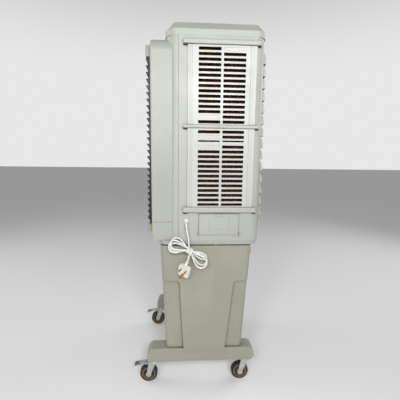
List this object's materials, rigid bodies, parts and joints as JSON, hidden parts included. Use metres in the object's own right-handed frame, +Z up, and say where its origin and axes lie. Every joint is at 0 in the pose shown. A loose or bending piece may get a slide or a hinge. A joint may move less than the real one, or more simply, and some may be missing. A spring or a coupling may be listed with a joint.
{
  "type": "evaporative cooler",
  "caption": "Free-standing evaporative cooler on castors: louvred air outlet, swing vanes, axial fan, side and rear cooling pads, lower water tank and a hung-up mains lead.",
  "frame": {"origin": "middle of the footprint on the floor, under the castor wheels", "axes": "+Z up, -Y the air outlet (front), +Y the rear intake, +X the side with the mains lead"},
  "size_m": [0.621, 0.528, 1.474],
  "materials": {
    "shell_plastic": "warm light grey moulded plastic, satin",
    "hood_plastic": "pale cool grey moulded plastic, satin",
    "tank_plastic": "greyer beige moulded plastic, satin, lightly scuffed",
    "grille_plastic": "light grey moulded plastic, satin",
    "black_plastic": "black moulded plastic",
    "button_plastic": "dark grey gloss plastic",
    "fan_plastic": "dark grey moulded plastic",
    "cellulose": "brown corrugated cellulose",
    "motor_steel": "black painted steel",
    "pump_plastic": "black moulded plastic",
    "white_pvc": "white PVC",
    "gauge_clear": "clear plastic gauge",
    "brass_fitting": "machined brass",
    "rubber_black": "black rubber",
    "zinc_steel": "zinc plated steel",
    "tyre_rubber": "blue-black rubber tyre, light brown core",
    "pedal_steel": "zinc plated steel with a dark toe",
    "cord_pvc": "white PVC cord, semi-gloss",
    "plug_plastic": "off-white plug plastic"
  },
  "bodies": {
    "cabinet": {"top_cover": "shell_plastic", "upper_housing": "shell_plastic", "deck": "shell_plastic", "front_hood": "hood_plastic", "back_grille": "shell_plastic", "outlet_frame": "black_plastic", "outlet_blades": "black_plastic", "control_panel": "tank_plastic", "lower_outlet_bar": "tank_plastic", "vane_rails": "black_plastic", "swing_motor": "motor_steel", "fan_ring": "fan_plastic", "motor_bracket": "motor_steel", "fan_motor": "motor_steel", "pad_right": "cellulose", "pad_left": "cellulose", "pad_back": "cellulose", "pad_shelves": "shell_plastic", "water_spreader": "white_pvc", "riser_pipe": "white_pvc", "pump": "pump_plastic", "tank": "tank_plastic", "level_window": "gauge_clear", "float_valve": "brass_fitting", "side_rails": "shell_plastic", "base_beams": "tank_plastic", "caster_plates": "zinc_steel", "cable_gland": "cord_pvc", "cord_lead": "cord_pvc", "cord_hank": "cord_pvc", "cord_tail": "cord_pvc", "plug": "plug_plastic"},
    "fan": {"fan_rotor": "fan_plastic"},
    "vane_link": {"vane_link": "black_plastic"},
    "fill_door": {"fill_door": "shell_plastic"},
    "float_arm": {"float_arm": "white_pvc"},
    "drain_plug": {"drain_plug": "rubber_black"},
    "vane_1": {"vane_1": "black_plastic"},
    "vane_2": {"vane_2": "black_plastic"},
    "vane_3": {"vane_3": "black_plastic"},
    "vane_4": {"vane_4": "black_plastic"},
    "vane_5": {"vane_5": "black_plastic"},
    "button_power": {"button_power": "button_plastic"},
    "button_speed": {"button_speed": "button_plastic"},
    "button_swing": {"button_swing": "button_plastic"},
    "button_cool": {"button_cool": "button_plastic"},
    "grille_right_upper": {"grille_right_upper": "grille_plastic"},
    "grille_right_lower": {"grille_right_lower": "grille_plastic"},
    "grille_left_upper": {"grille_left_upper": "grille_plastic"},
    "grille_left_lower": {"grille_left_lower": "grille_plastic"},
    "fork_front_right": {"fork_front_right": "zinc_steel"},
    "wheel_front_right": {"wheel_front_right": "tyre_rubber"},
    "brake_pedal_right": {"brake_pedal_right": "pedal_steel"},
    "fork_rear_right": {"fork_rear_right": "zinc_steel"},
    "wheel_rear_right": {"wheel_rear_right": "tyre_rubber"},
    "fork_front_left": {"fork_front_left": "zinc_steel"},
    "wheel_front_left": {"wheel_front_left": "tyre_rubber"},
    "brake_pedal_left": {"brake_pedal_left": "pedal_steel"},
    "fork_rear_left": {"fork_rear_left": "zinc_steel"},
    "wheel_rear_left": {"wheel_rear_left": "tyre_rubber"}
  },
  "joints": [
    {"name": "fan_spin", "type": "hinge", "parent": "cabinet", "child": "fan", "pos_m": [0, -0.078, 1.04], "axis": [0, 1, 0], "continuous": true},
    {"name": "vane_swing_1", "type": "hinge", "parent": "cabinet", "child": "vane_1", "pos_m": [-0.18, -0.14, 1.034], "axis": [0, 0, 1], "range_deg": [-30, 30]},
    {"name": "vane_swing_2", "type": "hinge", "parent": "cabinet", "child": "vane_2", "pos_m": [-0.09, -0.14, 1.034], "axis": [0, 0, 1], "range_deg": [-30, 30]},
    {"name": "vane_swing_3", "type": "hinge", "parent": "cabinet", "child": "vane_3", "pos_m": [0, -0.14, 1.034], "axis": [0, 0, 1], "range_deg": [-30, 30]},
    {"name": "vane_swing_4", "type": "hinge", "parent": "cabinet", "child": "vane_4", "pos_m": [0.09, -0.14, 1.034], "axis": [0, 0, 1], "range_deg": [-30, 30]},
    {"name": "vane_swing_5", "type": "hinge", "parent": "cabinet", "child": "vane_5", "pos_m": [0.18, -0.14, 1.034], "axis": [0, 0, 1], "range_deg": [-30, 30]},
    {"name": "vane_link_slide", "type": "slide", "parent": "cabinet", "child": "vane_link", "axis": [1, 0, 0], "range_m": [-0.0085, 0.0085]},
    {"name": "button_power_press", "type": "slide", "parent": "cabinet", "child": "button_power", "axis": [0, 1, 0], "range_m": [0, 0.002], "stiffness_N_per_m": 300, "springref_m": -0.001},
    {"name": "button_speed_press", "type": "slide", "parent": "cabinet", "child": "button_speed", "axis": [0, 1, 0], "range_m": [0, 0.002], "stiffness_N_per_m": 300, "springref_m": -0.001},
    {"name": "button_swing_press", "type": "slide", "parent": "cabinet", "child": "button_swing", "axis": [0, 1, 0], "range_m": [0, 0.002], "stiffness_N_per_m": 300, "springref_m": -0.001},
    {"name": "button_cool_press", "type": "slide", "parent": "cabinet", "child": "button_cool", "axis": [0, 1, 0], "range_m": [0, 0.002], "stiffness_N_per_m": 300, "springref_m": -0.001},
    {"name": "grille_right_upper_lift_off", "type": "slide", "parent": "cabinet", "child": "grille_right_upper", "axis": [1, 0, 0], "range_m": [0, 0.08]},
    {"name": "grille_right_lower_lift_off", "type": "slide", "parent": "cabinet", "child": "grille_right_lower", "axis": [1, 0, 0], "range_m": [0, 0.08]},
    {"name": "grille_left_upper_lift_off", "type": "slide", "parent": "cabinet", "child": "grille_left_upper", "axis": [-1, 0, 0], "range_m": [0, 0.08]},
    {"name": "grille_left_lower_lift_off", "type": "slide", "parent": "cabinet", "child": "grille_left_lower", "axis": [-1, 0, 0], "range_m": [0, 0.08]},
    {"name": "fill_door_swing", "type": "hinge", "parent": "cabinet", "child": "fill_door", "pos_m": [0.287, 0.0885, 0.68], "axis": [0, 1, 0], "range_deg": [0, 75]},
    {"name": "float_swing", "type": "hinge", "parent": "cabinet", "child": "float_arm", "pos_m": [0.122, 0.19, 0.558], "axis": [1, 0, 0], "range_deg": [-35, 0]},
    {"name": "drain_plug_pull", "type": "slide", "parent": "cabinet", "child": "drain_plug", "axis": [0, 1, 0], "range_m": [0, 0.03]},
    {"name": "front_right_swivel", "type": "hinge", "parent": "cabinet", "child": "fork_front_right", "pos_m": [0.222, -0.18, 0.095], "axis": [0, 0, 1], "continuous": true},
    {"name": "front_right_roll", "type": "hinge", "parent": "fork_front_right", "child": "wheel_front_right", "pos_m": [0.222, -0.202, 0.0375], "axis": [1, 0, 0], "continuous": true},
    {"name": "right_brake_press", "type": "hinge", "parent": "fork_front_right", "child": "brake_pedal_right", "pos_m": [0.222, -0.196, 0.085], "axis": [1, 0, 0], "range_deg": [0, 7]},
    {"name": "rear_right_swivel", "type": "hinge", "parent": "cabinet", "child": "fork_rear_right", "pos_m": [0.222, 0.225, 0.095], "axis": [0, 0, 1], "continuous": true},
    {"name": "rear_right_roll", "type": "hinge", "parent": "fork_rear_right", "child": "wheel_rear_right", "pos_m": [0.222, 0.203, 0.0375], "axis": [1, 0, 0], "continuous": true},
    {"name": "front_left_swivel", "type": "hinge", "parent": "cabinet", "child": "fork_front_left", "pos_m": [-0.222, -0.18, 0.095], "axis": [0, 0, 1], "continuous": true},
    {"name": "front_left_roll", "type": "hinge", "parent": "fork_front_left", "child": "wheel_front_left", "pos_m": [-0.222, -0.202, 0.0375], "axis": [1, 0, 0], "continuous": true},
    {"name": "left_brake_press", "type": "hinge", "parent": "fork_front_left", "child": "brake_pedal_left", "pos_m": [-0.222, -0.196, 0.085], "axis": [1, 0, 0], "range_deg": [0, 7]},
    {"name": "rear_left_swivel", "type": "hinge", "parent": "cabinet", "child": "fork_rear_left", "pos_m": [-0.222, 0.225, 0.095], "axis": [0, 0, 1], "continuous": true},
    {"name": "rear_left_roll", "type": "hinge", "parent": "fork_rear_left", "child": "wheel_rear_left", "pos_m": [-0.222, 0.203, 0.0375], "axis": [1, 0, 0], "continuous": true}
  ],
  "couplings": [
    {"joint": "vane_swing_2", "follows": "vane_swing_1", "ratio": 1},
    {"joint": "vane_swing_3", "follows": "vane_swing_1", "ratio": 1},
    {"joint": "vane_swing_4", "follows": "vane_swing_1", "ratio": 1},
    {"joint": "vane_swing_5", "follows": "vane_swing_1", "ratio": 1},
    {"joint": "vane_link_slide", "follows": "vane_swing_1", "m_per_rad": 0.016}
  ]
}
